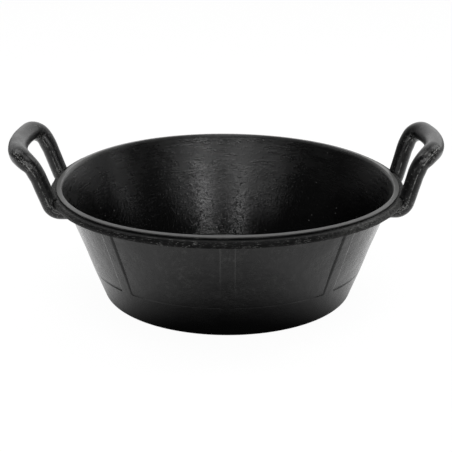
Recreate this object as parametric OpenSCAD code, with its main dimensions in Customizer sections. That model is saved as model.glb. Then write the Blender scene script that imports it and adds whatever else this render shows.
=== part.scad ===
// Round rubber feed tub with two loop handles, standing on the ground.
// Sizes are in millimetres. The origin is the middle of the underside, Z is up,
// and the handles lie along X, one at each end.

/* [Tub] */
// Height from the ground to the lip
tub_height = 177; // [130:1:260]
// Inside diameter of the mouth at the lip
mouth_diameter = 506; // [440:2:620]
// Diameter at which the outside of the wall would meet the ground
foot_diameter = 381; // [320:1:430]
// Thickness of the wall, measured level
wall_thickness = 5; // [4:0.5:10]
// Thickness of the floor
floor_thickness = 8; // [5:0.5:14]
// Rounding of the outside corner at the foot
foot_round = 10; // [2:0.5:16]
// Rounding of the inside corner between floor and wall
inside_round = 22; // [8:1:40]

/* [Mouth] */
// Height of the stretch under the lip where the mouth opens out
flare_height = 16; // [8:0.5:30]
// How far the mouth opens out past the line of the wall
flare_width = 1.5; // [0.5:0.5:6]
// Width of the land on top of the lip
land_width = 7; // [4:0.5:12]
// Fall of the land from its inner edge to its outer edge
land_fall = 1.2; // [0:0.1:2]

/* [Rim bead] */
// Depth of the step from the lip down to the bead
bead_step = 4; // [1:0.5:6]
// Height of the bead
bead_height = 11; // [6:0.5:14]
// How far the bead stands out past the land
bead_reach = 9.5; // [6:0.5:16]

/* [Panels] */
// Number of upright ribs round the wall, with a sunk panel between each pair
rib_count = 8; // [4:1:16]
// Width of a rib
rib_width = 20; // [8:1:40]
// Depth of the sunk panels
panel_depth = 1.5; // [0.5:0.25:2.5]
// Height of the panels' lower edge above the ground
panel_foot = 50; // [30:1:90]

/* [Handles] */
// Distance between the leg centres of the left handle
left_spacing = 145; // [110:1:170]
// Lean of the left handle's legs from the upright, in degrees
left_lean = 20; // [12:0.5:28]
// Distance between the leg centres of the right handle
right_spacing = 127; // [110:1:170]
// Lean of the right handle's legs from the upright, in degrees
right_lean = 15; // [12:0.5:28]
// Radius of the round bar in the legs
leg_radius = 12.5; // [9:0.25:15]
// Radius of the round bar in the grip
grip_radius = 14.75; // [10:0.25:16]
// Clear distance between the land and the inside of a leg
leg_clearance = 0.7; // [0.6:0.1:4]
// How far below the middle of the bead the legs start to turn in
elbow_drop = 2.5; // [0:0.5:10]
// Radius of the turn from a leg into the wall, at the middle of the bar
elbow_round = 16; // [15.5:0.5:24]
// Length of a leg from the turn to where it starts to bend outward
leg_straight = 42; // [30:1:60]
// Radius of the outward bend below the grip
bend_radius = 80; // [45:1:120]
// Length from the turn to the grip, along the bar's own slope
loop_length = 84; // [78:1:120]
// Radius of the corners between legs and grip, at the middle of the bar
corner_radius = 16.5; // [16.5:0.5:30]
// How far the middle of the grip bows outward past its ends
grip_bow = 14; // [0:0.5:20]
// Angle at which the two legs spread apart on their way up, in degrees
leg_splay = 3; // [0:0.5:10]

/* [Hidden] */
$fn = 96;
rubber = [0.11, 0.11, 0.115];

// Steps in a quarter turn of a rounded outline
arc_steps = 10;
// Sides of the bar, and rings along each stretch of half a handle
bar_sides = 20;
elbow_rings = 8;
leg_rings = 3;
bend_rings = 3;
corner_rings = 9;
grip_rings = 5;
// How far a handle's root reaches past the face of the wall, before it is trimmed to fit
root_cover = 8;
// How far a cutting shape runs past the surface it cuts
overrun = 5;

// Tub outline, worked out as radius against height
mouth_r = mouth_diameter / 2;
foot_r = foot_diameter / 2;
land_r = mouth_r + land_width;
wall_slope = (mouth_r - flare_width + wall_thickness - foot_r) / tub_height;
wall_tilt = atan(wall_slope);
bead_top = tub_height - bead_step;
bead_foot = bead_top - bead_height;
bead_middle = (bead_top + bead_foot) / 2;
bead_r = land_r + bead_reach;
// The foot's rounding ends within the thickness of the floor
foot_arc = min(foot_round, floor_thickness / (1 - sin(wall_tilt)));
flare_foot = tub_height - flare_height;

function wall_outside(z) = foot_r + wall_slope * z;
function wall_inside(z) = wall_outside(z) - wall_thickness;
// Points of an oval about the point at, with half sizes half, from angle a to angle b
function oval(at, half, a, b) =
    let (steps = ceil(abs(b - a) / 90 * arc_steps))
    [for (i = [0 : steps])
        let (turn = a + (b - a) * i / steps)
        at + [half[0] * cos(turn), half[1] * sin(turn)]];
// Points of an arc about the point at, from angle a to angle b
function arc(at, radius, a, b) = oval(at, [radius, radius], a, b);

foot_arc_at = [wall_outside(foot_arc) - foot_arc / cos(wall_tilt), foot_arc];
inside_arc_z = floor_thickness + inside_round;
inside_arc_at = [wall_inside(inside_arc_z) - inside_round / cos(wall_tilt), inside_arc_z];

// Foot of the tub up to a given height, with its rounded corner
function foot_points(z) = concat(
    [[0, 0]],
    arc(foot_arc_at, foot_arc, -90, -wall_tilt),
    [[wall_outside(z), z]]
);

// Round cord against the side of the lip, with a web under it that reaches back to the wall
cord_half = [bead_reach, bead_height] / 2;
cord_at = [land_r + cord_half[0], bead_middle];
bead_points = concat(
    [[wall_outside(bead_foot), bead_foot]],
    oval(cord_at, cord_half, -90, 180)
);
// Lip above the bead, from its outside to the inner edge of the land
lip_points = [[land_r, tub_height - land_fall], [mouth_r, tub_height]];

module floor_profile() {
    polygon(concat(foot_points(floor_thickness), [[0, floor_thickness]]));
}

module wall_profile() {
    polygon(concat(
        [
            [wall_outside(floor_thickness), floor_thickness],
            [wall_outside(bead_foot), bead_foot],
            [land_r, bead_middle]
        ],
        lip_points,
        [[wall_inside(flare_foot), flare_foot]],
        arc(inside_arc_at, inside_round, -wall_tilt, -90)
    ));
}

module bead_profile() {
    polygon(bead_points);
}

// Everything inside the outer surface of tub and bead, bowl included
module filled_profile() {
    polygon(concat(foot_points(floor_thickness), bead_points, lip_points, [[0, tub_height]]));
}

// Sunk panels between the ribs, as a ring that the ribs break up
module panels() {
    difference() {
        rotate_extrude()
            polygon([
                [wall_outside(panel_foot) - panel_depth, panel_foot],
                [wall_outside(panel_foot) + overrun, panel_foot],
                [wall_outside(bead_foot) + overrun, bead_foot],
                [wall_outside(bead_foot) - panel_depth, bead_foot]
            ]);
        for (i = [0 : rib_count - 1])
            rotate([0, 0, -90 + i * 360 / rib_count])
                translate([0, -rib_width / 2, 0])
                    cube([bead_r + overrun, rib_width, tub_height]);
    }
}

// What a handle has to clear: the outside of wall and bead
module tub_body() {
    difference() {
        rotate_extrude() filled_profile();
        panels();
    }
}

// Handles. The bar of a handle lies in a sheet that rises from the elbow with the legs' lean
// and then bends outward. A place in the sheet is a distance y across it and a length w up it.
elbow_top = bead_middle - elbow_drop;

// Middle of a leg where it starts from the elbow. Beside the bead, the leaning leg clears the land.
function leg_x(spacing, lean) =
    sqrt(pow(land_r + leg_clearance + leg_radius / cos(lean), 2) - pow(spacing / 2, 2))
    - elbow_drop * tan(lean);
// Slope of the sheet from the upright at length w
function sheet_angle(w, lean) = lean + max(w - leg_straight, 0) / bend_radius * 180 / PI;
function sheet_x(w, lean) = min(w, leg_straight) * sin(lean)
    + bend_radius * (cos(lean) - cos(sheet_angle(w, lean)));
function sheet_z(w, lean) = min(w, leg_straight) * cos(lean)
    + bend_radius * (sin(sheet_angle(w, lean)) - sin(lean));
function bar_radius(w) = leg_radius
    + (grip_radius - leg_radius) * max(w - leg_straight, 0) / (loop_length - leg_straight);

// A station on the bar is its centre, the direction square to the sheet there, and its radius
function sheet_station(y, w, spacing, lean) =
    let (half = spacing / 2, rise = sheet_z(w, lean))
    [
        [
            leg_x(spacing, lean) + sheet_x(w, lean) + grip_bow * (1 - pow(y / half, 2)),
            y * (1 + tan(leg_splay) * rise / half),
            elbow_top + rise
        ],
        [cos(sheet_angle(w, lean)), 0, -sin(sheet_angle(w, lean))],
        bar_radius(w)
    ];
// Stations of the elbow, where the slope turns from the legs' lean to level
function elbow_station(angle, spacing, lean) = [
    [
        leg_x(spacing, lean) - elbow_round * (cos(lean) - cos(angle)),
        spacing / 2,
        elbow_top - elbow_round * (sin(angle) - sin(lean))
    ],
    [cos(angle), 0, -sin(angle)],
    leg_radius
];
function root_station(spacing, lean) =
    let (level = elbow_station(90, spacing, lean), low = level[0][2] - leg_radius)
    [
        [
            sqrt(pow(wall_outside(low), 2) - pow(spacing / 2 + leg_radius, 2)) - root_cover,
            level[0][1],
            level[0][2]
        ],
        level[1],
        leg_radius
    ];

// Half a handle, from the root in the wall to the middle of the grip
function half_handle(spacing, lean) =
    let (half = spacing / 2, leg_end = loop_length - corner_radius)
    concat(
        [root_station(spacing, lean)],
        [for (i = [elbow_rings : -1 : 1])
            elbow_station(lean + (90 - lean) * i / elbow_rings, spacing, lean)],
        [for (i = [0 : leg_rings - 1])
            sheet_station(half, leg_straight * i / leg_rings, spacing, lean)],
        [for (i = [0 : bend_rings - 1])
            sheet_station(half, leg_straight + (leg_end - leg_straight) * i / bend_rings, spacing, lean)],
        [for (i = [0 : corner_rings])
            let (turn = 90 * i / corner_rings)
            sheet_station(half - corner_radius * (1 - cos(turn)), leg_end + corner_radius * sin(turn),
                spacing, lean)],
        [for (i = [1 : grip_rings])
            sheet_station((half - corner_radius) * (1 - i / grip_rings), loop_length, spacing, lean)]
    );
function mirror_y(v) = [v[0], -v[1], v[2]];
function whole_handle(half) = concat(
    half,
    [for (i = [len(half) - 2 : -1 : 0]) [mirror_y(half[i][0]), mirror_y(half[i][1]), half[i][2]]]
);

function unit(v) = v / norm(v);
// Direction of the bar at station i
function bar_direction(s, i) = unit(s[min(i + 1, len(s) - 1)][0] - s[max(i - 1, 0)][0]);
// Ring of points round the bar at station i, square to its direction
function bar_ring(s, i) =
    let (along = bar_direction(s, i))
    let (across = unit(cross(along, s[i][1])))
    let (out = cross(across, along))
    [for (k = [0 : bar_sides - 1])
        s[i][0] + s[i][2] * (cos(360 * k / bar_sides) * out + sin(360 * k / bar_sides) * across)];

// Round bar swept through a row of stations, with flat ends
module bar(stations) {
    rings = len(stations);
    side_faces = [
        for (i = [0 : rings - 2], k = [0 : bar_sides - 1])
            let (a = i * bar_sides + k, b = i * bar_sides + (k + 1) % bar_sides)
            each [[a, a + bar_sides, b + bar_sides], [a, b + bar_sides, b]]
    ];
    first_end = [for (k = [0 : bar_sides - 1]) k];
    last_end = [for (k = [bar_sides - 1 : -1 : 0]) (rings - 1) * bar_sides + k];
    polyhedron(
        points = [for (i = [0 : rings - 1]) each bar_ring(stations, i)],
        faces = concat([first_end], side_faces, [last_end])
    );
}

// Loop handle at the +X end, its roots shaped to the wall and the bead
module handle(spacing, lean) {
    difference() {
        bar(whole_handle(half_handle(spacing, lean)));
        tub_body();
    }
}

module floor_disc() {
    color(rubber) rotate_extrude() floor_profile();
}

module side_wall() {
    color(rubber)
        difference() {
            rotate_extrude() wall_profile();
            panels();
        }
}

module rim_bead() {
    color(rubber) rotate_extrude() bead_profile();
}

module left_handle() {
    color(rubber) mirror([1, 0, 0]) handle(left_spacing, left_lean);
}

module right_handle() {
    color(rubber) handle(right_spacing, right_lean);
}

floor_disc();
side_wall();
rim_bead();
left_handle();
right_handle();
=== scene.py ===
import math

import bpy
import numpy as np
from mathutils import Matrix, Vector


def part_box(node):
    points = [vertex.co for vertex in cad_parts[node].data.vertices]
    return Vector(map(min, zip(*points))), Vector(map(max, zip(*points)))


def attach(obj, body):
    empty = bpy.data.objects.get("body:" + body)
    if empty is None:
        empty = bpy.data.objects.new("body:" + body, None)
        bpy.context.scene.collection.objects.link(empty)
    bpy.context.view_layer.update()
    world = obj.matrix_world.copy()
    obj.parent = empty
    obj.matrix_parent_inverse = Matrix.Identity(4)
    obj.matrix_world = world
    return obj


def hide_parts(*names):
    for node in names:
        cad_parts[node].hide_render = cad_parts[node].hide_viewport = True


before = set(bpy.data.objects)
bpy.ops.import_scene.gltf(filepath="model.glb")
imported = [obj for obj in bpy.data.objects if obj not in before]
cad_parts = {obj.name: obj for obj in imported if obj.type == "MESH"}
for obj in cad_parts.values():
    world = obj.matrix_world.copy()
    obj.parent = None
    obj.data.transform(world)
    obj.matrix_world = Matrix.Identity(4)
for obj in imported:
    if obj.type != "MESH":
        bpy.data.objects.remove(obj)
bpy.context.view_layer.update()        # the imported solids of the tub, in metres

MM = 0.001
BODY = "root"

# Tub sizes that the solids give
FLOOR_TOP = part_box("floor_disc")[1].z
FOOT_EDGE_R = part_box("floor_disc")[1].x
LIP_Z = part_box("side_wall")[1].z
LAND_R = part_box("side_wall")[1].x
BEAD_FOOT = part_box("rim_bead")[0].z
BEAD_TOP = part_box("rim_bead")[1].z
BEAD_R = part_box("rim_bead")[1].x

# Tub sizes that the solids don't give directly
LAND_WIDTH = 7 * MM
LAND_FALL = 0.9 * MM
WALL_THICKNESS = 5 * MM
FLARE_HEIGHT = 16 * MM
FLARE_WIDTH = 1.5 * MM
FLARE_STEP = 0.9 * MM
FLARE_ROUND = 5 * MM
FOOT_ROUND = 10 * MM
INSIDE_ROUND = 22 * MM
RIB_COUNT = 8
RIB_WIDTH = 20 * MM
PANEL_DEPTH = 1.5 * MM
PANEL_FOOT = 50 * MM

MOUTH_R = LAND_R - LAND_WIDTH
BEAD_MIDDLE = (BEAD_FOOT + BEAD_TOP) / 2
FLARE_FOOT = LIP_Z - FLARE_HEIGHT
WALL_SLOPE = (MOUTH_R - FLARE_WIDTH + WALL_THICKNESS - FOOT_EDGE_R) / (LIP_Z - FLOOR_TOP)
WALL_TILT = math.atan(WALL_SLOPE)

# Undercut between land and bead, how far below the bead's top the undercut's back and the bead's ledge
# end, and how far the bead is let into the wall
UNDERCUT = 1.2 * MM
UNDERCUT_DROP = 0.5 * MM
LEDGE_DROP = 0.4 * MM
BEAD_SINK = 0.6 * MM

# Handle sizes, the same for both but for spacing and lean
LEG_RADIUS = 12.5 * MM
GRIP_RADIUS = 14.75 * MM
LEG_CLEARANCE = 0.7 * MM
ROOT_LENGTH = 26 * MM
ROOT_SINK = 2 * MM
ELBOW_DROP = 2.5 * MM
ELBOW_ROUND = 16 * MM
LEG_STRAIGHT = 42 * MM
BEND_RADIUS = 80 * MM
LOOP_LENGTH = 84 * MM
CORNER_RADIUS = 16.5 * MM
GRIP_BOW = 14 * MM
LEG_SPLAY = math.radians(3)
ELBOW_TOP = BEAD_MIDDLE - ELBOW_DROP
LEFT_HANDLE = {"side": -1, "spacing": 145 * MM, "lean": math.radians(20)}
RIGHT_HANDLE = {"side": 1, "spacing": 127 * MM, "lean": math.radians(15)}

# How far the soft rim gives under the handles' weight, how far round the two cosines of that are turned,
# and the shares of the warp that lift one side and lower the other, and that lift both
SAG_OUT = 2.46 * MM
SAG_OUT_PHASE = 0.27
SAG_DOWN = 2.11 * MM
SAG_DOWN_PHASE = 0.45
WARP = 4.5 * MM
WARP_SEESAW = 0.8
WARP_LIFT = 0.2


# Shapes

SHARP_ANGLE = math.radians(38)


def blend(share, one, other):
    """Straight line from one, where the share is 0, to other, where it is 1."""
    return one + (other - one) * share


def ease(t):
    """0 below 0, 1 above 1, and 3t^2 - 2t^3 between."""
    t = np.clip(t, 0, 1)
    return t * t * (3 - 2 * t)


def above(values, level, softness):
    """0 where values are below the level, easing to 1 where they are past it by the softness."""
    return ease((values - level) / softness)


def bell(distance, width):
    """Bell curve, e to the power of minus (distance over width) squared."""
    return np.exp(-(distance / width) ** 2)


def ripple(seed, u, v, reach_u, reach_v, waves=28):
    """Sum of cosines of (a u + b v + phase), scaled to a spread of about 1.

    a is a whole number drawn up to reach_u, so the sum closes round a full turn of u. b is any number
    up to reach_v.
    """
    rng = np.random.default_rng(seed)
    a = rng.integers(-reach_u, reach_u + 1, waves)
    b = rng.uniform(-reach_v, reach_v, waves)
    phase = rng.uniform(0, 2 * np.pi, waves)
    total = sum(np.cos(a[i] * u + b[i] * v + phase[i]) for i in range(waves))
    return total / math.sqrt(waves / 2)


def wall_outside(z):
    """Radius of the wall's outside at height z: a straight slope."""
    return FOOT_EDGE_R + WALL_SLOPE * (z - FLOOR_TOP)


def wall_inside(z):
    """Radius of the wall's inside at height z."""
    return wall_outside(z) - WALL_THICKNESS


def sagged(points):
    """The points, moved as far as the soft rim gives under the handles' weight.

    The moves out and down are cosines of twice the azimuth, each turned a little, positive at the
    handles and negative between them. A warp by the sine of the azimuth times its cosine squared lifts
    the rim behind the handles and lowers it, by less, before them. All grow evenly from none at the
    floor to full at the lip.
    """
    x, y, z = np.moveaxis(points, -1, 0)
    azimuth = np.arctan2(y, x)
    share = np.clip((z - FLOOR_TOP) / (LIP_Z - FLOOR_TOP), 0, 1)
    out = SAG_OUT * share * np.cos(2 * azimuth + SAG_OUT_PHASE)
    down = SAG_DOWN * share * np.cos(2 * azimuth - SAG_DOWN_PHASE)
    lifted = WARP_SEESAW * np.sin(azimuth) + WARP_LIFT * np.abs(np.sin(azimuth))
    down = down - WARP * share * lifted * np.cos(azimuth) ** 2
    return np.stack([x + out * np.cos(azimuth), y + out * np.sin(azimuth), z - down], -1)


def rounded(corners, steps=6):
    """Outline through corners of (radius, height, reach): each corner is a parabola's arc that starts
    and ends at that reach from the corner, along the two sides that meet there."""
    outline = [np.array(corners[0][:2])]
    for before, here, after in zip(corners, corners[1:], corners[2:]):
        p, q, s = (np.array(c[:2]) for c in (before, here, after))
        start = q + (p - q) / np.linalg.norm(p - q) * here[2]
        end = q + (s - q) / np.linalg.norm(s - q) * here[2]
        t = np.linspace(0, 1, steps)[:, None]
        outline.extend((1 - t) ** 2 * start + 2 * t * (1 - t) * q + t ** 2 * end)
    outline.append(np.array(corners[-1][:2]))
    return np.array(outline)


def length_along(points):
    """Distance along a line of points, from its first point to each."""
    return np.concatenate([[0], np.cumsum(np.linalg.norm(np.diff(points, axis=0), axis=1))])


def filled_in(outline, spacing, extra=()):
    """The outline with points added at every spacing along it, and at the extra lengths."""
    length = length_along(outline)
    wanted = np.concatenate([length, np.arange(0, length[-1], spacing), np.asarray(extra, float)])
    wanted = np.unique(np.round(wanted, 6))
    return np.stack([np.interp(wanted, length, outline[:, k]) for k in (0, 1)], -1)


def arc(centre, radius, start, end, steps):
    """Points of a round arc about a centre, from angle start to angle end."""
    turn = np.linspace(start, end, steps)
    return np.stack([centre[0] + radius * np.cos(turn), centre[1] + radius * np.sin(turn)], -1)


def outline_normals(outline):
    """Unit normals to the right of the outline's direction of travel."""
    along = np.gradient(outline, axis=0)
    along /= np.linalg.norm(along, axis=1)[:, None]
    return np.stack([along[:, 1], -along[:, 0]], -1)


def turned(radius, azimuth, height):
    """Points at that radius, azimuth and height about the tub's axis."""
    x, y, z = np.broadcast_arrays(radius * np.cos(azimuth), radius * np.sin(azimuth), height)
    return np.stack([x, y, z], -1)


def add_surface(name, grid, looped, node, finish, marks):
    """One closed mesh from a grid of points, sagged with the rim.

    Rows run along a profile or a path and columns run round it, so the last column meets the first.
    A looped grid's last row meets its first. Otherwise a fan to its middle closes each end row. Where
    the faces enclose a negative volume, they are turned round, so that they point outwards.
    marks holds further numbers for each grid point, which materials read as attributes.
    """
    grid = sagged(grid)
    rows, columns = grid.shape[:2]
    points = grid.reshape(-1, 3)
    number = np.arange(rows * columns).reshape(rows, columns)
    beside = np.roll(number, -1, axis=1)
    quads = np.stack([number, beside, np.roll(beside, -1, axis=0), np.roll(number, -1, axis=0)], -1)
    fans = np.empty((0, 3), int)
    if not looped:
        quads = quads[:-1]
        middles = grid[[0, -1]].mean(axis=1)
        first = np.full(columns, len(points))
        fans = np.concatenate([
            np.stack([beside[0], number[0], first], -1),
            np.stack([number[-1], beside[-1], first + 1], -1),
        ])
        points = np.concatenate([points, middles])
    quads = quads.reshape(-1, 4)
    corner = points[quads]
    volume = np.einsum("ij,ij->i", corner[:, 0], np.cross(corner[:, 1], corner[:, 2])).sum()
    volume += np.einsum("ij,ij->i", corner[:, 0], np.cross(corner[:, 2], corner[:, 3])).sum()
    if volume < 0:
        quads = quads[:, ::-1]
        fans = fans[:, ::-1]
    mesh = bpy.data.meshes.new(name)
    mesh.from_pydata(points.tolist(), [], quads.tolist() + fans.tolist())
    for mark, values in marks.items():
        stored = mesh.attributes.new(mark, "FLOAT", "POINT")
        padded = np.zeros(len(points), np.float32)
        padded[: rows * columns] = np.broadcast_to(values, (rows, columns)).ravel()
        stored.data.foreach_set("value", padded)
    mesh.shade_smooth()
    mesh.set_sharp_from_angle(angle=SHARP_ANGLE)
    mesh.materials.append(finish)
    piece = bpy.data.objects.new(name, mesh)
    bpy.context.scene.collection.objects.link(piece)
    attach(piece, BODY)
    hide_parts(node)
    return piece


# Shader building

class Value:
    """A number that changes over a surface. Arithmetic on it adds Math nodes."""

    def __init__(self, tree, socket):
        self.tree = tree
        self.socket = socket

    def combined(self, operation, *others):
        """A Math node of that operation on this value and the others."""
        inputs = dict(enumerate((self, *others)))
        return self.tree.value("ShaderNodeMath", {"operation": operation}, inputs)

    def __add__(self, other):
        return self.combined("ADD", other)

    def __mul__(self, other):
        return self.combined("MULTIPLY", other)

    def __sub__(self, other):
        return self.combined("SUBTRACT", other)

    def __rsub__(self, other):
        return (self * -1) + other

    def __pow__(self, other):
        return self.combined("POWER", other)

    def most(self, other):
        """The larger of the two."""
        return self.combined("MAXIMUM", other)

    def swing(self, amount):
        """A noise from 0 to 1 made one about 0, of that amount from lowest to highest."""
        return (self - 0.5) * amount

    def between(self, low, high):
        """0 at low, 1 at high, smooth between and held past them."""
        return self.tree.value(
            "ShaderNodeMapRange",
            {"interpolation_type": "SMOOTHSTEP"},
            {"Value": self, "From Min": low, "From Max": high},
        )

    __radd__ = __add__
    __rmul__ = __mul__


class Tree:
    """The nodes of one material or of the world."""

    def __init__(self, owner, place):
        owner.use_nodes = True
        self.owner = owner
        self.nodes = owner.node_tree.nodes
        self.links = owner.node_tree.links
        self.place = self.node("ShaderNodeTexCoord").outputs[place]

    def node(self, kind, settings=None, sockets=None):
        """A node of that type, with its settings made first and then its sockets set or linked."""
        made = self.nodes.new(kind)
        for key, setting in (settings or {}).items():
            setattr(made, key, setting)
        for key, given in (sockets or {}).items():
            self.put(made.inputs[key], given)
        return made

    def put(self, socket, given):
        """Links a value or an output to a socket, or sets the socket to a constant."""
        given = given.socket if isinstance(given, Value) else given
        if isinstance(given, bpy.types.NodeSocket):
            self.links.new(given, socket)
        else:
            socket.default_value = given

    def value(self, kind, settings=None, sockets=None, output=0):
        """One output of a new node, wrapped so that arithmetic works on it."""
        return Value(self, self.node(kind, settings, sockets).outputs[output])

    def noise(self, scale, detail, roughness, at=None):
        """Cloudy noise from 0 to 1, with that many cells to the metre."""
        sockets = {"Vector": at or self.place, "Scale": scale, "Detail": detail, "Roughness": roughness}
        return self.value("ShaderNodeTexNoise", None, sockets, "Fac")

    def cells(self, scale, at=None):
        """Distance to the nearest of scattered points, with that many points to the metre."""
        sockets = {"Vector": at or self.place, "Scale": scale}
        return self.value("ShaderNodeTexVoronoi", None, sockets, "Distance")

    def stretched(self, x, y, z):
        """The place on the surface, scaled on each axis."""
        sockets = {0: self.place, 1: (x, y, z)}
        return self.node("ShaderNodeVectorMath", {"operation": "MULTIPLY"}, sockets).outputs[0]

    def axis(self, letter):
        """The place along one axis."""
        return self.value("ShaderNodeSeparateXYZ", None, {0: self.place}, letter)

    def mark(self, name):
        """A number stored on the mesh, and 0 where the mesh has none of that name."""
        return self.value("ShaderNodeAttribute", {"attribute_name": name}, None, "Fac")

    def ray(self, kind):
        """1 for rays of that kind, such as Is Camera Ray, and 0 for others."""
        return self.value("ShaderNodeLightPath", None, None, kind)

    def mix(self, share, one, other):
        """Colour between one and other."""
        sockets = {"Factor": share, 6: one, 7: other}
        return self.node("ShaderNodeMix", {"data_type": "RGBA"}, sockets).outputs[2]

    def bump(self, height, depth, under=None):
        """Normal bent by a height, where 1 stands out by the depth, over another normal if given."""
        sockets = {"Height": height, "Strength": 1.0, "Distance": depth}
        if under is not None:
            sockets["Normal"] = under
        return self.node("ShaderNodeBump", None, sockets).outputs[0]

    def finished(self, **sockets):
        """Puts the given values on the Principled shader's sockets and returns the material."""
        shader = self.nodes["Principled BSDF"]
        for name, given in sockets.items():
            self.put(shader.inputs[name.replace("_", " ")], given)
        return self.owner


def new_finish(name):
    """The nodes of a new material that reads Object coordinates."""
    return Tree(bpy.data.materials.new(name), "Object")


# Finishes

BLACK = (0.0014, 0.0014, 0.0015, 1)
DUST = (0.06, 0.06, 0.059, 1)
FLASH_GREY = (0.40, 0.40, 0.39, 1)

# Roughness
OUTSIDE_ROUGHNESS = 0.25
LAND_ROUGHNESS = 0.40
BOWL_ROUGHNESS = 0.30
DEEP_BOWL_ROUGHNESS = 0.20
BEAD_ROUGHNESS = 0.60
BEAD_SPECULAR = 0.16
HANDLE_ROUGHNESS = 0.31
WORN_ROUGHNESS = 0.2

# How far each texture stands out
OUTSIDE_GRAIN = 0.30 * MM
WAVES = 1.2 * MM
RINGS = 0.30 * MM
PEBBLE = 0.28 * MM
DIMPLES = 0.20 * MM
BEAD_GRAIN = 0.2 * MM
HANDLE_GRAIN = 0.18 * MM

# Share of dust or of flash grey in the colour
OUTSIDE_DUST = 0.75
BOWL_DUST = 0.05
LAND_GREYING = 0.5
# Grey of the painted highlight on the land beside the handles
LAND_END_HIGHLIGHT_GREY = 0.2
SPECK_GREY = 0.25
# Grey of the painted highlight along the rib edges that face the handles
RIB_EDGE_HIGHLIGHT_GREY = 0.5
BEAD_FLASH_GREY = 0.6
# Grey of the painted sheen at the bead's ends and right side, from darkest to palest speckle
BEAD_SHEEN_GREY = (0.04, 0.20)
SCRATCH_GREY = 0.8
HANDLE_FLASH_GREY = 0.9
HANDLE_SPECK_GREY = 0.35

# Where the finishes change, each from no change to the full change: heights for the deep bowl and the
# dust, x for the bead's painted sheen on its right side, and the square of x, in square metres, for the
# two ends, where the land and the bead carry painted light
DEEP_FROM, DEEP_TO = 165 * MM, 60 * MM
DUST_FROM, DUST_TO = 30 * MM, 100 * MM
SHEEN_RIGHT_FROM, SHEEN_RIGHT_TO = 110 * MM, 200 * MM
ENDS_FROM, ENDS_TO = 0.038, 0.064


def handle_ends(x):
    """0 round most of the rim and 1 at its two ends, beside the handles, by the square of x."""
    return (x * x).between(ENDS_FROM, ENDS_TO)


def moulded_rubber():
    """Satin rubber of wall and floor, which the marks bowl, land and wear_and_highlight tell apart.

    Outside it has a fine grain, long waves and cloudy dust. The dust is faded out towards the foot, so
    the colour is darker low down. The rib edges that face the handles carry a painted highlight, pale
    grey. The land is duller and greyer all round, and carries a painted highlight, palest beside the
    handles. The bowl has rings near the lip, a pebble, dimples and a few pale specks, and is glossier
    low down.
    """
    f = new_finish("moulded_rubber")
    bowl = f.mark("bowl")
    land = f.mark("land")
    wear_and_highlight = f.mark("wear_and_highlight")
    z = f.axis("Z")
    deep = z.between(DEEP_FROM, DEEP_TO) * bowl
    clouds = f.noise(scale=22, detail=4, roughness=0.6)
    runs = f.noise(scale=55, detail=3, roughness=0.6, at=f.stretched(1, 1, 0.12))
    rings = f.noise(scale=300, detail=3, roughness=0.7, at=f.stretched(0.10, 0.10, 1))
    waves = f.noise(scale=32, detail=3, roughness=0.6)
    grain = f.noise(scale=420, detail=3, roughness=0.7)
    pebble = f.noise(scale=330, detail=2, roughness=0.7)
    dimples = f.cells(scale=215).between(0.10, 0.42)
    specks = f.cells(scale=95, at=f.stretched(0.7, 0.7, 1)).between(0.12, 0.06)
    specks = specks * f.noise(scale=24, detail=2, roughness=0.5).between(0.46, 0.60)
    dust = f.noise(scale=140, detail=5, roughness=0.75).between(0.44, 0.72)
    # The dust fades out below DUST_TO and is gone below DUST_FROM, so the colour is darker towards the
    # foot
    dust = dust * (0.3 + (clouds * runs).between(0.18, 0.42)) * z.between(DUST_FROM, DUST_TO)
    # The land is greyed all round by a further share of the dust colour
    dust = dust * blend(bowl, OUTSIDE_DUST, BOWL_DUST) + land * LAND_GREYING

    # Pale grey: specks in the bowl, and a painted highlight along the rib edges that face the handles
    pale = (specks * bowl * SPECK_GREY).most(wear_and_highlight * RIB_EDGE_HIGHLIGHT_GREY)
    # Painted highlight: the land is paler beside the handles
    pale = pale.most(land * handle_ends(f.axis("X")) * LAND_END_HIGHLIGHT_GREY)
    colour = f.mix(pale, f.mix(dust, BLACK, DUST), FLASH_GREY)

    outside = blend(land, OUTSIDE_ROUGHNESS, LAND_ROUGHNESS) + clouds.swing(0.30) + grain.swing(0.20)
    inside = blend(deep, BOWL_ROUGHNESS, DEEP_BOWL_ROUGHNESS) + clouds.swing(0.34)
    inside = inside + rings.swing(0.34) * (1 - deep)
    roughness = blend(bowl, outside, inside)

    normal = f.bump(grain * (1 - bowl) * (1 - land), OUTSIDE_GRAIN)
    normal = f.bump(waves * blend(bowl, 1, 0.4) * (1 - land), WAVES, normal)
    normal = f.bump(rings * bowl * (1 - deep), RINGS, normal)
    normal = f.bump(pebble * bowl * blend(deep, 0.8, 1), PEBBLE, normal)
    normal = f.bump(dimples * bowl * blend(deep, 0.75, 1), DIMPLES, normal)
    return f.finished(Base_Color=colour, Roughness=roughness, Normal=normal)


def bead_rubber():
    """Dull grained rubber of the rim bead, with grey torn flash, and a painted sheen, speckled grey, at
    its two ends and along its right side."""
    f = new_finish("bead_rubber")
    x = f.axis("X")
    grain = f.noise(scale=420, detail=3, roughness=0.7)
    torn = f.mark("flash") * grain.between(0.42, 0.58) * BEAD_FLASH_GREY
    # Painted sheen at the bead's two ends and along its right side, broken by speckle
    ends = handle_ends(x).most(x.between(SHEEN_RIGHT_FROM, SHEEN_RIGHT_TO))
    speckle = f.noise(scale=240, detail=4, roughness=0.75).between(0.42, 0.62)
    colour = f.mix(torn.most(ends * blend(speckle, *BEAD_SHEEN_GREY)), BLACK, FLASH_GREY)
    return f.finished(
        Base_Color=colour,
        Roughness=BEAD_ROUGHNESS + grain.swing(0.2),
        Normal=f.bump(grain, BEAD_GRAIN),
        Specular_IOR_Level=BEAD_SPECULAR,
    )


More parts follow.
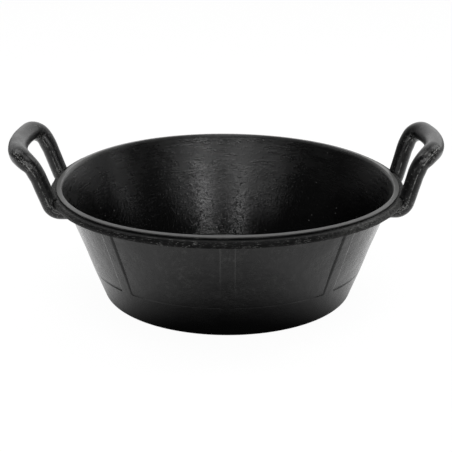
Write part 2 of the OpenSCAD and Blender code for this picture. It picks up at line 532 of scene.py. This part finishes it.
def handle_rubber():
    """Satin rubber of the handles, with dust, pale specks, grey torn flash, and scratched scuffs."""
    f = new_finish("handle_rubber")
    grain = f.noise(scale=330, detail=3, roughness=0.7)
    scratches = f.noise(scale=330, detail=4, roughness=0.7).between(0.56, 0.68)
    wear_and_highlight = f.mark("flash").most(f.mark("scuff") * scratches * SCRATCH_GREY)
    dust = f.noise(scale=220, detail=5, roughness=0.8).between(0.58, 0.82)
    specks = f.noise(scale=340, detail=3, roughness=0.7).between(0.60, 0.70)
    pale = (wear_and_highlight * HANDLE_FLASH_GREY).most(specks * HANDLE_SPECK_GREY)
    return f.finished(
        Base_Color=f.mix(pale, f.mix(dust, BLACK, DUST), FLASH_GREY),
        Roughness=HANDLE_ROUGHNESS + grain.swing(0.24) + wear_and_highlight * WORN_ROUGHNESS,
        Normal=f.bump(grain, HANDLE_GRAIN),
    )


TUB_FINISH = moulded_rubber()
BEAD_FINISH = bead_rubber()
HANDLE_FINISH = handle_rubber()


# Floor

FLOOR_POLE = 2 * MM
FLOOR_ROW_SPACING = 6 * MM
FLOOR_COLUMNS = 360


def make_floor():
    """Turned outline of the floor: flat underside, rounded foot and flat top, closed on the axis."""
    foot_r = FOOT_EDGE_R - WALL_SLOPE * FLOOR_TOP
    centre = (foot_r + WALL_SLOPE * FOOT_ROUND - FOOT_ROUND / math.cos(WALL_TILT), FOOT_ROUND)
    outline = np.concatenate([
        [[FLOOR_POLE, 0]],
        arc(centre, FOOT_ROUND, -math.pi / 2, -WALL_TILT, steps=10),
        [[FOOT_EDGE_R, FLOOR_TOP], [FLOOR_POLE, FLOOR_TOP]],
    ])
    outline = filled_in(outline, FLOOR_ROW_SPACING)
    azimuth = np.linspace(0, 2 * np.pi, FLOOR_COLUMNS, endpoint=False)
    grid = turned(outline[:, :1], azimuth[None], outline[:, 1:])
    bowl = (np.arange(len(outline)) > len(outline) // 2)[:, None] * 1.0
    return add_surface("floor_skin", grid, False, "floor_disc", TUB_FINISH, {"bowl": bowl})


# Wall

WALL_ROW_SPACING = 5 * MM
FIRST_RIB = -np.pi / 2

# Columns for each rib, the share of them that lies in a zone across the rib and its edges, how far that
# zone reaches, and the share of the zone that lies on the rib's flat top
RIB_COLUMNS = 68
RIB_ZONE = 0.55
RIB_ZONE_HALF = RIB_WIDTH / 2 + 5 * MM
RIB_TOP_SHARE = 0.25
RIB_TOP_HALF = RIB_WIDTH / 2 - 2 * MM

# Edges of the ribs, and a soft shoulder on each: its width, the share of that which lies before the
# edge, and its share of the panels' depth
EDGE_WIDTH = 1.6 * MM
SHOULDER_WIDTH = 1.8 * MM
SHOULDER_START = 0.9
SHOULDER_SHARE = 0.25

# Panels: where they end under the bead, and their foot, with close rows, a narrow edge where it is crisp
# and a long fade where it isn't
PANEL_TOP = BEAD_FOOT + 0.5 * MM
PANEL_FOOT_ROWS = np.linspace(-0.5, 5, 14) * MM
PANEL_FOOT_EDGE = 2 * MM
PANEL_FOOT_FADE = 45 * MM
MOST_CRISP = 0.85
LEAST_CRISP = 0.10

# How large the azimuth's cosine is beside a handle, and how softly that starts
BESIDE_HANDLE = 0.7
BESIDE_FADE = 0.1

# Grooves along the edges, by shares of the panels' depth, and the line where the mouth opens out
GROOVE = 0.45
GROOVE_WIDTH = 1.1 * MM
GROOVE_BESIDE_HANDLE = 0.5
FLARE_LINE_DEPTH = 0.10 * MM
FLARE_LINE_WIDTH = 0.9 * MM

# Painted highlight along the rib edges that face the handles: place past the edge, width, share of it
# that is left in front and behind, and the height above the panels' foot over which it grows, there and
# at the sides
HIGHLIGHT_PLACE = 0.3 * EDGE_WIDTH
HIGHLIGHT_WIDTH = 0.9 * MM
HIGHLIGHT_FRONT = 0.12
HIGHLIGHT_FADE_FRONT = 90 * MM
HIGHLIGHT_FADE_SIDE = 10 * MM

# Where the finishes of the bowl and of the land start below the lip, and over what height
BOWL_BELOW_LIP = 1 * MM
BOWL_FADE = 4 * MM
LAND_BELOW_LIP = 3 * MM
LAND_FADE = 1.5 * MM


def wall_outline():
    """Section of the wall: up the outside, over the land and the lip, and down inside to the floor.

    Rows lie close together where the panels' foot runs.
    """
    inside_z = FLOOR_TOP + INSIDE_ROUND
    centre = (wall_inside(inside_z) - INSIDE_ROUND / math.cos(WALL_TILT), inside_z)
    inside_arc = arc(centre, INSIDE_ROUND, -WALL_TILT, -math.pi / 2, steps=12)
    outline = rounded([
        (FOOT_EDGE_R, FLOOR_TOP, 0),
        (wall_outside(BEAD_FOOT), BEAD_FOOT, 1 * MM),
        (LAND_R - UNDERCUT, BEAD_MIDDLE, 0.6 * MM),
        (LAND_R - UNDERCUT, BEAD_TOP - UNDERCUT_DROP, 0.3 * MM),
        (LAND_R, LIP_Z - LAND_FALL, 0.5 * MM),
        (MOUTH_R, LIP_Z, 0.5 * MM),
        (wall_inside(FLARE_FOOT) + FLARE_STEP, FLARE_FOOT, FLARE_ROUND),
        (*inside_arc[0], 0),
    ])
    outline = np.concatenate([outline, inside_arc[1:]])
    foot_at = (PANEL_FOOT - FLOOR_TOP) / math.cos(WALL_TILT)
    return filled_in(outline, WALL_ROW_SPACING, foot_at + PANEL_FOOT_ROWS)


def wall_columns(radius):
    """Turn from the nearest rib, azimuth, and that rib's azimuth, for each row's radius and each column.

    Columns are spread by distance across each rib and its edges, and evenly in angle between ribs.
    """
    u = np.arange(RIB_COUNT * RIB_COLUMNS)[None] / RIB_COLUMNS
    rib = np.round(u)
    share = np.abs(u - rib) * 2
    across = np.interp(share / RIB_ZONE, (0, RIB_TOP_SHARE, 1), (0, RIB_TOP_HALF, RIB_ZONE_HALF))
    half_turn = np.pi / RIB_COUNT
    past_zone = np.clip((share - RIB_ZONE) / (1 - RIB_ZONE), 0, 1)
    turn = blend(past_zone, np.arcsin(across / radius), half_turn)
    rib_azimuth = FIRST_RIB + rib * 2 * half_turn
    return turn, rib_azimuth + np.sign(u - rib) * turn, rib_azimuth


def panels(past_rib, past_foot, azimuth, rib_azimuth):
    """How deep the wall's outside is sunk, by shares of the panels' depth, and how strong a painted
    highlight is on it.

    past_rib and past_foot are the distances past a rib's edge and past the panels' foot. The sunk share
    is the product of an ease past each. The foot is crisp beside the four diagonal ribs, and fades
    towards the front, the back and the handles. Bell curves add a groove along the crisp foot, softer
    beside the handles, and along the rib edges that don't face a handle. Another paints a pale highlight
    along the rib edges that do, least in front and behind.
    """
    to_side = np.abs(np.cos(azimuth))
    facing_handle = to_side > np.abs(np.cos(rib_azimuth))
    crisp = MOST_CRISP * np.abs(np.sin(2 * azimuth)) ** 3 * np.minimum(1.5 * to_side ** 2, 1)
    crisp = np.maximum(crisp, LEAST_CRISP)
    foot_edge = blend(crisp, ease(past_foot / PANEL_FOOT_FADE), ease(past_foot / PANEL_FOOT_EDGE))
    shoulder = ease(past_rib / SHOULDER_WIDTH + SHOULDER_START)
    rib_edge = blend(SHOULDER_SHARE, ease(past_rib / EDGE_WIDTH), shoulder)

    rib_groove = bell(past_rib - EDGE_WIDTH, GROOVE_WIDTH) * foot_edge * ~facing_handle
    foot_groove = bell(past_foot - PANEL_FOOT_EDGE, GROOVE_WIDTH) * rib_edge * crisp
    beside_handle = above(to_side, BESIDE_HANDLE, BESIDE_FADE)
    foot_groove = foot_groove * blend(beside_handle, 1, GROOVE_BESIDE_HANDLE)
    sunk = foot_edge * rib_edge + GROOVE * np.maximum(rib_groove, foot_groove)

    sideways = ease(to_side / BESIDE_HANDLE)
    # Painted highlight along the rib edges that face the handles, weakest in front and behind
    wear_and_highlight = bell(past_rib - HIGHLIGHT_PLACE, HIGHLIGHT_WIDTH) * facing_handle * blend(sideways, HIGHLIGHT_FRONT, 1)
    wear_and_highlight = wear_and_highlight * ease(past_foot / blend(sideways, HIGHLIGHT_FADE_FRONT, HIGHLIGHT_FADE_SIDE))
    return sunk, wear_and_highlight


def make_wall():
    """Turned outline of the wall, with panels sunk between its ribs and a fine line inside, where the
    mouth opens out, that is pressed in along the outline's normals."""
    outline = wall_outline()
    normals = outline_normals(outline)
    radius, height = outline[:, :1], outline[:, 1:]
    outer = (np.arange(len(outline)) < np.argmax(height))[:, None]
    panelled = outer & (height < PANEL_TOP)
    turn, azimuth, rib_azimuth = wall_columns(radius)
    past_rib = radius * np.sin(turn) - RIB_WIDTH / 2
    sunk, wear_and_highlight = panels(past_rib, height - PANEL_FOOT, azimuth, rib_azimuth)
    lift = -FLARE_LINE_DEPTH * ~outer * bell(height - FLARE_FOOT, FLARE_LINE_WIDTH)
    grid = turned(
        radius - PANEL_DEPTH * sunk * panelled + lift * normals[:, :1],
        azimuth,
        height + lift * normals[:, 1:],
    )
    bowl = ~outer * above(LIP_Z - height, BOWL_BELOW_LIP, BOWL_FADE)
    land = above(height, LIP_Z - LAND_BELOW_LIP, LAND_FADE) * (1 - bowl)
    # The third mark is the painted highlight along the rib edges
    marks = {"bowl": bowl, "land": land, "wear_and_highlight": wear_and_highlight * panelled}
    return add_surface("wall_skin", grid, True, "side_wall", TUB_FINISH, marks)


# Bead

BEAD_COLUMNS = 1700
BEAD_SEED = 21
CORD_POINTS = 44

# Angles round the cord, in radians from straight out, and how soft the ends of its face are
CORD_END = math.radians(100)
OFF_CORD = 9.0
RIDGE_AT = math.radians(62)
RIDGE_WIDTH = 0.07
FACE_FOOT = -1.2
FACE_FOOT_FADE = 0.3
FACE_TOP = 1.0
FACE_TOP_FADE = 0.25

# How far the flash and the unevenness of the face stand out
BEAD_FLASH_RISE = 0.45 * MM
BEAD_SWELL = 0.10 * MM


def bead_outline():
    """Section of the bead: web under the cord, oval cord, ledge behind it, and back down in the wall.

    With each point go the direction in which the skin rises there and the angle round the cord, which is
    far out of range on the web and behind.
    """
    half = np.array([BEAD_R - LAND_R, BEAD_TOP - BEAD_FOOT]) / 2
    middle = np.array([LAND_R + half[0], BEAD_MIDDLE])
    web_foot = np.array([wall_outside(BEAD_FOOT) - BEAD_SINK, BEAD_FOOT])
    ledge_end = np.array([LAND_R - UNDERCUT - BEAD_SINK, BEAD_TOP - LEDGE_DROP])
    turn = np.linspace(-math.pi / 2, CORD_END, CORD_POINTS)
    outward = np.stack([np.cos(turn), np.sin(turn)], -1)
    cord = middle + half * outward
    web = np.linspace(web_foot, cord[0], 4)[:-1]
    ledge = np.linspace(cord[-1], ledge_end, 5)[1:]
    back = np.concatenate([ledge, np.linspace(ledge_end, web_foot, 4)[1:-1]])
    angle = np.concatenate([np.full(len(web), -OFF_CORD), turn, np.full(len(back), OFF_CORD)])
    down = np.tile([0, -1], (len(web), 1))
    up = np.tile([0, 1], (len(back), 1))
    return np.concatenate([web, cord, back]), np.concatenate([down, outward, up]), angle[:, None]


def make_bead():
    """Oval cord turned round the lip, with a web to the wall under it, and torn flash on its face.

    The flash is a thin ridge along the upper face, a bell curve of the angle round the cord that a
    ripple of the azimuth tears, and short dashes on the face, where a ripple of azimuth and angle is
    above a level. Both are strongest in patches, by a slower ripple. The face is uneven by one more.
    """
    outline, normals, angle = bead_outline()
    azimuth = np.linspace(0, 2 * np.pi, BEAD_COLUMNS, endpoint=False)[None]
    level = 0 * azimuth
    face = above(angle, FACE_FOOT, FACE_FOOT_FADE) * ease((FACE_TOP - angle) / FACE_TOP_FADE)
    patches = ease(0.5 + 0.5 * ripple(BEAD_SEED + 3, azimuth, level, 30, 0))
    torn = 0.15 + 0.5 * ease(0.3 + 0.6 * ripple(BEAD_SEED, azimuth, level, 240, 0, waves=40)) * patches
    ridge = bell(angle - RIDGE_AT, RIDGE_WIDTH) * torn
    dashes = above(ripple(BEAD_SEED + 1, azimuth, angle, 280, 34, waves=70), 0.9, 0.7)
    flash = np.clip(ridge + dashes * face * blend(patches, 0.5, 1), 0, 1)
    swell = face * ripple(BEAD_SEED + 2, azimuth, angle, 90, 5)
    rise = BEAD_FLASH_RISE * flash + BEAD_SWELL * swell
    grid = turned(
        outline[:, :1] + rise * normals[:, :1],
        azimuth,
        outline[:, 1:] + rise * normals[:, 1:],
    )
    return add_surface("bead_skin", grid, True, "rim_bead", BEAD_FINISH, {"flash": flash})


# Handles

HANDLE_RINGS = 420
HANDLE_COLUMNS = 108
CROWDING = 0.42
ELBOW_POINTS = 16
LEG_POINTS = 30
CORNER_POINTS = 24
GRIP_POINTS = 16

# Flash and scuffs: lengths along the bar, at the corners from about their middle and at the elbows from
# the bar's ends, and turns from the parting line in radians
FIN_WIDTH = 0.7 * MM
FIN_ON_GRIP = 0.25
FIN_FADE = 24 * MM
SCUFF_TURN = 0.75
CORNER_SCUFF_AT = 14 * MM
CORNER_SCUFF_REACH = 13 * MM
ELBOW_SCUFF_REACH = 62 * MM
ELBOW_SCUFF_FADE = 12 * MM
BITS_AT = 2 * MM
BITS_REACH = 15 * MM
BITS_TURN = 0.3
HANDLE_FLASH_RISE = 0.2 * MM
HANDLE_SWELL = 0.08 * MM

# Crease in the bend of each leg
CREASE_DEPTH = 1.5 * MM
CREASE_WIDTH = 7 * MM
CREASE_PAST_STRAIGHT = 22 * MM


def sheet_slope(w, lean):
    """Slope from the upright, at length w, of the bent sheet in which a handle lies."""
    return lean + np.maximum(w - LEG_STRAIGHT, 0) / BEND_RADIUS


def handle_path(spacing, lean):
    """Centre, direction square to the sheet, radius and length along, at evenly spaced rings of the bar.

    Half a path runs from the wall through the elbow, up the leg, round the corner and along the grip.
    It is laid out by distance y across the sheet and length w up it, then placed in space: the sheet
    leans, bends outward on an arc, splays with height and bows out towards the middle of the grip.
    """
    half = spacing / 2
    beside_bead = LAND_R + LEG_CLEARANCE + LEG_RADIUS / math.cos(lean)
    leg_x = math.sqrt(beside_bead ** 2 - half ** 2) - ELBOW_DROP * math.tan(lean)
    leg_end = LOOP_LENGTH - CORNER_RADIUS

    turn = np.linspace(0, math.pi / 2, CORNER_POINTS)[1:]
    y = np.concatenate([
        np.full(LEG_POINTS, half),
        half - CORNER_RADIUS * (1 - np.cos(turn)),
        np.linspace(half - CORNER_RADIUS, 0, GRIP_POINTS)[1:],
    ])
    w = np.concatenate([
        np.linspace(0, leg_end, LEG_POINTS),
        leg_end + CORNER_RADIUS * np.sin(turn),
        np.full(GRIP_POINTS - 1, LOOP_LENGTH),
    ])
    slope = sheet_slope(w, lean)
    straight = np.minimum(w, LEG_STRAIGHT)
    rise = straight * math.cos(lean) + BEND_RADIUS * (np.sin(slope) - math.sin(lean))
    reach = straight * math.sin(lean) + BEND_RADIUS * (math.cos(lean) - np.cos(slope))
    loop = np.stack([
        leg_x + reach + GRIP_BOW * (1 - (y / half) ** 2),
        y * (1 + math.tan(LEG_SPLAY) * rise / half),
        ELBOW_TOP + rise,
    ], -1)
    up_bend = np.clip((w - LEG_STRAIGHT) / (LOOP_LENGTH - LEG_STRAIGHT), 0, 1)
    thick = blend(up_bend, LEG_RADIUS, GRIP_RADIUS)

    bend = np.linspace(math.pi / 2, lean, ELBOW_POINTS)[:-1]
    elbow = np.stack([
        leg_x - ELBOW_ROUND * (math.cos(lean) - np.cos(bend)),
        np.full_like(bend, half),
        ELBOW_TOP - ELBOW_ROUND * (np.sin(bend) - math.sin(lean)),
    ], -1)
    root = elbow[:1] - [ROOT_LENGTH, 0, 0]
    centre = np.concatenate([root, elbow, loop])
    slope = np.concatenate([[math.pi / 2], bend, slope])
    thick = np.concatenate([np.full(1 + len(bend), LEG_RADIUS), thick])

    centre = np.concatenate([centre, centre[-2::-1] * [1, -1, 1]])
    slope = np.concatenate([slope, slope[-2::-1]])
    thick = np.concatenate([thick, thick[-2::-1]])
    length = length_along(centre)
    even = np.linspace(0, length[-1], HANDLE_RINGS)
    centre = np.stack([np.interp(even, length, centre[:, k]) for k in range(3)], -1)
    slope = np.interp(even, length, slope)
    square = np.stack([np.cos(slope), 0 * slope, -np.sin(slope)], -1)
    return centre, square, np.interp(even, length, thick), even


def bar_skin(even, turn, thick, spacing, seed):
    """Flash and scuff, each from 0 to 1, and swell, at each ring and each turn round the bar.

    A thin fin is a bell curve of the distance from the parting line, torn by ripples of the length and
    faint on the grip. The corners, by a bell curve along the bar, and the elbows are scuffed, most near
    the line. Wrinkles at the corners, crumbs on all scuffs and bits on the corners' line show where
    ripples of length and turn are above a level. The swell is a ripple too.
    """
    middle = even[-1] / 2
    from_middle = np.abs(even - middle)[:, None]
    past_corner = from_middle - spacing / 2
    length = 2 * np.pi * even[:, None] / even[-1]
    around = turn[None]
    from_line = np.abs(np.abs(((turn + np.pi) % (2 * np.pi)) - np.pi) - np.pi / 2)[None]
    line = 2 * np.sign(np.sin(turn))[None]

    torn = ease(0.55 + 0.5 * ripple(seed, length, line, 40, 1))
    torn = torn * (0.35 + 0.5 * ease(0.5 + 0.5 * ripple(seed + 4, length, line, 150, 1)))
    fin = bell(from_line * thick[:, None], FIN_WIDTH) * torn
    fin = fin * blend(ease(past_corner / FIN_FADE), FIN_ON_GRIP, 1)

    beside_line = bell(from_line, SCUFF_TURN)
    broken = ease(0.45 + 0.8 * ripple(seed + 5, length, around, 34, 4))
    corner = bell(past_corner - CORNER_SCUFF_AT, CORNER_SCUFF_REACH) * beside_line * broken
    elbow = above(from_middle, middle - ELBOW_SCUFF_REACH, ELBOW_SCUFF_FADE) * beside_line
    scuff = np.maximum(corner, elbow)

    wrinkles = above(ripple(seed + 1, length, around, 55, 40, waves=70), 1.2, 0.4) * corner
    crumbs = above(ripple(seed + 3, length, around, 150, 22, waves=50), 1.3, 0.5) * scuff
    bits = above(ripple(seed + 6, length, around, 150, 40, waves=50), 0.6, 0.5)
    bits = bits * bell(past_corner - BITS_AT, BITS_REACH) * bell(from_line, BITS_TURN)
    swell = ripple(seed + 2, length, around, 14, 3)
    return np.clip(fin + wrinkles + crumbs + bits, 0, 1), scuff, swell


def make_handle(name, node, side, spacing, lean, seed):
    """Round bar carried along the handle's path, with flash along its parting line and scuffed corners.

    Points round the bar crowd towards the two sides where the mould parted. The bar swells by a ripple,
    and a bell curve along it presses a crease into the inner side of each leg's bend, which faces away
    from the tub. The roots stop inside the wall: below the bead's middle no point goes further in than a
    little behind the panels.
    """
    centre, square, thick, even = handle_path(spacing, lean)
    along = np.gradient(centre, axis=0)
    along /= np.linalg.norm(along, axis=1)[:, None]
    across = np.cross(along, square)
    across /= np.linalg.norm(across, axis=1)[:, None]
    out = np.cross(across, along)

    even_turn = np.linspace(0, 2 * np.pi, HANDLE_COLUMNS, endpoint=False)
    turn = even_turn + CROWDING * np.sin(2 * even_turn)
    flash, scuff, swell = bar_skin(even, turn, thick, spacing, seed)

    elbow_length = ELBOW_ROUND * (math.pi / 2 - lean)
    crease_at = ROOT_LENGTH + elbow_length + LEG_STRAIGHT + CREASE_PAST_STRAIGHT
    from_end = np.minimum(even, even[-1] - even)[:, None]
    crease = bell(from_end - crease_at, CREASE_WIDTH) * np.maximum(np.cos(turn), 0)[None]
    radius = thick[:, None] + HANDLE_FLASH_RISE * flash + HANDLE_SWELL * swell - CREASE_DEPTH * crease
    spoke = np.cos(turn)[None, :, None] * out[:, None] + np.sin(turn)[None, :, None] * across[:, None]
    grid = centre[:, None] + radius[..., None] * spoke

    limit = wall_outside(grid[..., 2]) - PANEL_DEPTH - ROOT_SINK
    shallow = np.sqrt(np.maximum(limit ** 2 - grid[..., 1] ** 2, 0))
    below_bead = grid[..., 2] < BEAD_MIDDLE
    grid[..., 0] = np.where(below_bead, np.maximum(grid[..., 0], shallow), grid[..., 0])
    grid[..., 0] *= side
    marks = {"flash": flash, "scuff": scuff}
    return add_surface(name, grid, False, node, HANDLE_FINISH, marks)


make_floor()
make_wall()
make_bead()
make_handle("left_handle_skin", "left_handle", seed=31, **LEFT_HANDLE)
make_handle("right_handle_skin", "right_handle", seed=41, **RIGHT_HANDLE)


# Camera

IMAGE_PIXELS = 452
FOCAL_PIXELS = 1372.06
SENSOR = 36.0
CAMERA_AT = Vector((-2.36, -2012.17, 826.60)) * MM
CAMERA_AIM = Vector((-2.36, 0, 102.18)) * MM


def make_camera():
    """Camera at the photograph's place, fitted to the rim, the foot and the handles."""
    data = bpy.data.cameras.new("camera")
    data.sensor_width = SENSOR
    data.lens = FOCAL_PIXELS / IMAGE_PIXELS * SENSOR
    camera = bpy.data.objects.new("camera", data)
    camera.location = CAMERA_AT
    camera.rotation_euler = (CAMERA_AIM - CAMERA_AT).to_track_quat("-Z", "Y").to_euler()
    bpy.context.scene.collection.objects.link(camera)
    bpy.context.scene.camera = camera


# Stage and light

WHITE = (1, 1, 1, 1)
STAGE_HALF = 12.0
STAGE_GREY = (0.08, 0.08, 0.08, 1)
STAGE_WHITE = 0.955
LIGHT_AIM = Vector((0, 0, 0.12))

# Strength of the stage floor's painted light, which only reflections see: before the tub and further
# before it, added beside and behind it, and the share that is left far behind
STAGE_BEFORE = 0.70
STAGE_FAR_BEFORE = 0.04
STAGE_BESIDE = 0.25
STAGE_BEHIND = 0.5
STAGE_FAR_BEHIND = 0.15

# Strength of the world on each side
BACK_LEFT = 0.4
BACK_RIGHT = 1.18
RIGHT_SIDE = 0.10
LEFT_SIDE = 0.05
LOW_FRONT = 2.9
ELSEWHERE = 0.012


def make_stage_floor():
    """Wide pale floor that takes the tub's shadow and is white to the camera.

    In reflections it glows with painted light, kept dark close round the tub by a painted shadow, bright
    behind the tub, and dimmer towards the camera and again far behind.
    """
    mesh = bpy.data.meshes.new("studio_floor")
    h = STAGE_HALF
    mesh.from_pydata([(-h, -h, 0), (h, -h, 0), (h, h, 0), (-h, h, 0)], [], [(0, 1, 2, 3)])
    floor = bpy.data.objects.new("studio_floor", mesh)
    bpy.context.scene.collection.objects.link(floor)
    f = new_finish("studio_white")
    f.nodes.remove(f.nodes["Principled BSDF"])
    x = f.axis("X")
    y = f.axis("Y")
    # Painted shadow in reflections: 0 close round the tub, easing to 1 further out
    away = ((x * x + y * y) ** 0.5 + y * 0.22 + x * x * 1.05).between(0.160, 0.285)
    # Painted light on the floor for reflections: dim before the tub, brighter beside and behind it,
    # dimmer far behind
    painted_floor_light = blend((y - x * 0.25).between(-0.60, -0.33), STAGE_FAR_BEFORE, STAGE_BEFORE)
    painted_floor_light = painted_floor_light + y.between(-0.20, 0.0) * STAGE_BESIDE + y.between(-0.03, 0.22) * STAGE_BEHIND
    painted_floor_light = painted_floor_light * blend(y.between(0.45, 0.85), 1, STAGE_FAR_BEHIND)
    strength = f.ray("Is Camera Ray") * STAGE_WHITE + f.ray("Is Glossy Ray") * away * painted_floor_light
    pale = f.node("ShaderNodeBsdfDiffuse", None, {"Color": STAGE_GREY}).outputs[0]
    light = f.node("ShaderNodeEmission", None, {"Color": WHITE, "Strength": strength}).outputs[0]
    both = f.node("ShaderNodeAddShader", None, {0: pale, 1: light}).outputs[0]
    f.put(f.nodes["Material Output"].inputs["Surface"], both)
    mesh.materials.append(f.owner)


def make_world():
    """White backdrop for the camera, and soft light for the tub.

    The light comes from behind, most from the middle and the right, a little from both sides, and from
    a low band in front.
    """
    world = bpy.data.worlds.new("studio")
    bpy.context.scene.world = world
    w = Tree(world, "Generated")
    x = w.axis("X")
    y = w.axis("Y")
    z = w.axis("Z")
    back = y.between(0.05, 0.80) * blend(x.between(-0.75, -0.10), BACK_LEFT, BACK_RIGHT)
    right = x.between(0.35, 0.95) * RIGHT_SIDE
    left = x.between(-0.35, -0.95) * LEFT_SIDE
    low_front = y.between(-0.67, -0.73) * z.between(0.34, 0.23) * z.between(0.05, 0.13) * LOW_FRONT
    strength = back.most(right).most(left).most(low_front).most(ELSEWHERE)
    background = w.nodes["Background"]
    w.put(background.inputs["Color"], WHITE)
    w.put(background.inputs["Strength"], strength.most(w.ray("Is Camera Ray")))


def add_softbox(name, azimuth, elevation, distance, size, power):
    """Area light aimed at the tub's middle. Azimuth 0 is in front, and grows to the right."""
    a = math.radians(azimuth)
    e = math.radians(elevation)
    data = bpy.data.lights.new(name, "AREA")
    data.shape = "RECTANGLE"
    data.size, data.size_y = size
    data.energy = power
    light = bpy.data.objects.new(name, data)
    away = Vector((math.sin(a) * math.cos(e), -math.cos(a) * math.cos(e), math.sin(e)))
    light.location = LIGHT_AIM + away * distance
    light.rotation_euler = (-away).to_track_quat("-Z", "Y").to_euler()
    light.visible_camera = False
    bpy.context.scene.collection.objects.link(light)


make_camera()
make_stage_floor()
make_world()
add_softbox("right_front_strip", azimuth=20, elevation=18, distance=2.4, size=(0.12, 1.2), power=6.0)
add_softbox("left_front_strip", azimuth=-11, elevation=18, distance=2.4, size=(0.10, 1.2), power=4.7)
add_softbox("right_side_strip", azimuth=95, elevation=16, distance=2.2, size=(0.15, 0.8), power=1.2)
add_softbox("left_box", azimuth=-110, elevation=54, distance=2.5, size=(1.0, 1.7), power=13)
add_softbox("right_box", azimuth=110, elevation=54, distance=2.5, size=(1.0, 1.7), power=14.5)
add_softbox("overhead_box", azimuth=0, elevation=66, distance=2.3, size=(1.2, 1.3), power=11)
bpy.context.scene.view_settings.view_transform = "Standard"
